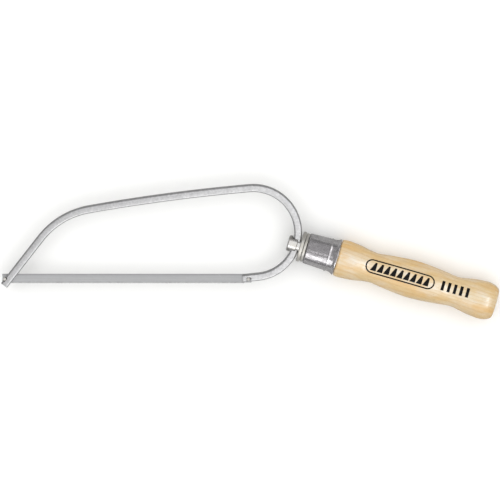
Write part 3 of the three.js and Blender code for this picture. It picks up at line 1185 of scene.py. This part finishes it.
def soft_light(name, direction, distance, size, radiance, colour=WHITE):
    """A soft box at a distance from the ferrule, aimed at it; long side along the handle."""
    data = bpy.data.lights.new(name, "AREA")
    data.shape = "RECTANGLE"
    data.size, data.size_y = size
    data.energy = WATTS_PER_AREA * size[0] * size[1] * radiance
    data.color = colour
    light = bpy.data.objects.new(name, data)
    bpy.context.collection.objects.link(light)
    target = back_centre + LIT_STATION * MM * handle_axis
    turn = aim(direction, handle_axis.cross(direction))
    light.matrix_world = Matrix.Translation(target + distance * direction.normalized()) @ turn
    return light


def link_light(light, state, *pieces):
    """Shines the light on the named pieces only (INCLUDE), or on all but them (EXCLUDE)."""
    linked = bpy.data.collections.new(f"pieces of {light.name}")
    for piece in pieces:
        linked.objects.link(bpy.data.objects[piece])
    for entry in linked.collection_objects:
        entry.light_linking.link_state = state
    light.light_linking.receiver_collection = linked


def highlight(piece, *shape):
    """A soft box seen only as a highlight, on one piece or on all of them."""
    light = soft_light(*shape)
    light.visible_diffuse = False
    if piece:
        link_light(light, "INCLUDE", piece)


def make_lights():
    """An overhead fill kept off the ferrule and the bow, and boxes seen only as highlights."""
    # after the piece and the name: direction, distance, size, brightness
    up = Vector((0, 0, 1))
    over = lean(math.radians(-5.0))
    side = lean(math.radians(-47.0))
    fill = soft_light("top_fill", lean(math.radians(4.0)), 1.6, (3.2, 3.2), 0.6)
    link_light(fill, "EXCLUDE", "bright_ferrule", "spring_bow")
    highlight(None, "side_box", side, 1.1, (1.5, 0.58), 1.12)
    highlight("bright_ferrule", "top_strip", over, 1.5, (0.9, 0.14), 0.65)
    highlight("bright_ferrule", "end_box", up + 1.2 * handle_axis, 1.3, (1.9, 5.0), 1.0)
    highlight("spring_bow", "bow_box", Vector((0.37, -0.22, 1.0)), 1.85, (1.93, 2.36), 0.95)
    highlight("turned_grip", "butt_box", up + 0.51 * handle_axis, 1.2, (0.25, 1.2), 5.0)
    highlight("turned_grip", "grip_sheen", lean(math.radians(8.0)), 1.2, (1.6, 1.4), 2.1,
              SHEEN_COLOUR)


def make_world():
    """Dim surroundings for reflections, darkest at the horizon; pale where the camera sees them."""
    world = bpy.data.worlds.new("studio")
    world.use_nodes = True
    tree = world.node_tree
    background = tree.nodes["Background"]
    rays = tree.nodes.new("ShaderNodeLightPath").outputs
    direction = tree.nodes.new("ShaderNodeTexCoord").outputs["Generated"]
    height = add_node(tree, "ShaderNodeSeparateXYZ", {0: direction}).outputs["Z"]
    rise = fit(tree, height, 0.0, 0.45, smooth=True)
    dim = mix(tree, rise, DIM_HORIZON, DIM_ABOVE)
    mirrored = mix(tree, rays["Is Glossy Ray"], SOFT_SKY, dim)
    colour = mix(tree, rays["Is Camera Ray"], mirrored, BACKDROP)
    feed(tree, background.inputs["Color"], colour)
    bpy.context.scene.world = world
    bpy.context.scene.view_settings.view_transform = "Standard"


# ---- operators ----
class SAW_OT_stage(Operator):
    """Lay the floor and set up the camera, lights and surroundings"""

    bl_idname = "bow_hacksaw.make_stage"
    bl_label = "Stage"

    def execute(self, context):
        settings = context.scene.saw_stage
        make_floor(settings)
        make_camera(settings)
        make_lights()
        make_world()
        return {"FINISHED"}


class SAW_OT_bow(Operator):
    """Bend the strip into the bow, with its slots and notches"""

    bl_idname = "bow_hacksaw.make_bow"
    bl_label = "Bow"

    def execute(self, context):
        make_bow(context.scene.saw_bow)
        return {"FINISHED"}


class SAW_OT_blade(Operator):
    """Cut the toothed blade"""

    bl_idname = "bow_hacksaw.make_blade"
    bl_label = "Blade"

    def execute(self, context):
        make_blade(context.scene.saw_blade)
        return {"FINISHED"}


class SAW_OT_pins(Operator):
    """Fit the cross pins at both ends of the blade"""

    bl_idname = "bow_hacksaw.make_pins"
    bl_label = "Blade pins"

    def execute(self, context):
        make_pins(context.scene.saw_clamp)
        return {"FINISHED"}


class SAW_OT_stud(Operator):
    """Make the eye bolt that the strip passes through"""

    bl_idname = "bow_hacksaw.make_stud"
    bl_label = "Eye bolt"

    def execute(self, context):
        make_stud(context.scene.saw_clamp, context.scene.saw_bow)
        return {"FINISHED"}


class SAW_OT_washers(Operator):
    """Make the two washers behind the strip"""

    bl_idname = "bow_hacksaw.make_washers"
    bl_label = "Washers"

    def execute(self, context):
        make_washers(context.scene.saw_clamp)
        return {"FINISHED"}


class SAW_OT_nut(Operator):
    """Plate the nut that is sunk in the grip"""

    bl_idname = "bow_hacksaw.plate_nut"
    bl_label = "Nut"

    def execute(self, context):
        plate_nut(context.scene.saw_clamp)
        return {"FINISHED"}


class SAW_OT_ferrule(Operator):
    """Draw the bright ferrule"""

    bl_idname = "bow_hacksaw.make_ferrule"
    bl_label = "Ferrule"

    def execute(self, context):
        make_ferrule(context.scene.saw_handle)
        return {"FINISHED"}


class SAW_OT_wood(Operator):
    """Turn the wooden grip"""

    bl_idname = "bow_hacksaw.make_wood"
    bl_label = "Wooden grip"

    def execute(self, context):
        make_wood(context.scene.saw_handle)
        return {"FINISHED"}


class SAW_OT_marks(Operator):
    """Print the plain marks on the grip"""

    bl_idname = "bow_hacksaw.make_marks"
    bl_label = "Printed marks"

    def execute(self, context):
        make_marks(context.scene.saw_handle)
        return {"FINISHED"}


class SAW_PT_panel(Panel):
    """Lists the saw's settings and the operators that build it"""

    bl_idname = "SAW_PT_panel"
    bl_label = "Bow Hacksaw"
    bl_space_type = "VIEW_3D"
    bl_region_type = "UI"
    bl_category = "Bow Hacksaw"

    def draw(self, context):
        layout = self.layout
        for group_name, operators in PANEL_ROWS:
            box = layout.box()
            settings = getattr(context.scene, group_name)
            for name in SETTINGS[group_name].__annotations__:
                box.prop(settings, name)
            for operator in operators:
                box.operator(operator.bl_idname)


SETTINGS = {
    "saw_bow": BowSettings,
    "saw_blade": BladeSettings,
    "saw_clamp": ClampSettings,
    "saw_handle": HandleSettings,
    "saw_stage": StageSettings,
}
PANEL_ROWS = [
    ("saw_bow", [SAW_OT_bow]),
    ("saw_blade", [SAW_OT_blade, SAW_OT_pins]),
    ("saw_clamp", [SAW_OT_stud, SAW_OT_washers, SAW_OT_nut]),
    ("saw_handle", [SAW_OT_ferrule, SAW_OT_wood, SAW_OT_marks]),
    ("saw_stage", [SAW_OT_stage]),
]
CLASSES = [
    *SETTINGS.values(), *[operator for _, operators in PANEL_ROWS for operator in operators],
    SAW_PT_panel,
]


def register():
    for cls in CLASSES:
        bpy.utils.register_class(cls)
    for name, cls in SETTINGS.items():
        setattr(bpy.types.Scene, name, PointerProperty(type=cls))


def unregister():
    for name in SETTINGS:
        delattr(bpy.types.Scene, name)
    for cls in reversed(CLASSES):
        bpy.utils.unregister_class(cls)


def main():
    register()
    saw = bpy.ops.bow_hacksaw
    saw.make_bow()
    saw.make_blade()
    saw.make_pins()
    saw.make_stud()
    saw.make_washers()
    saw.plate_nut()
    saw.make_ferrule()
    saw.make_wood()
    saw.make_marks()
    saw.make_stage()


if __name__ == "__main__":
    main()
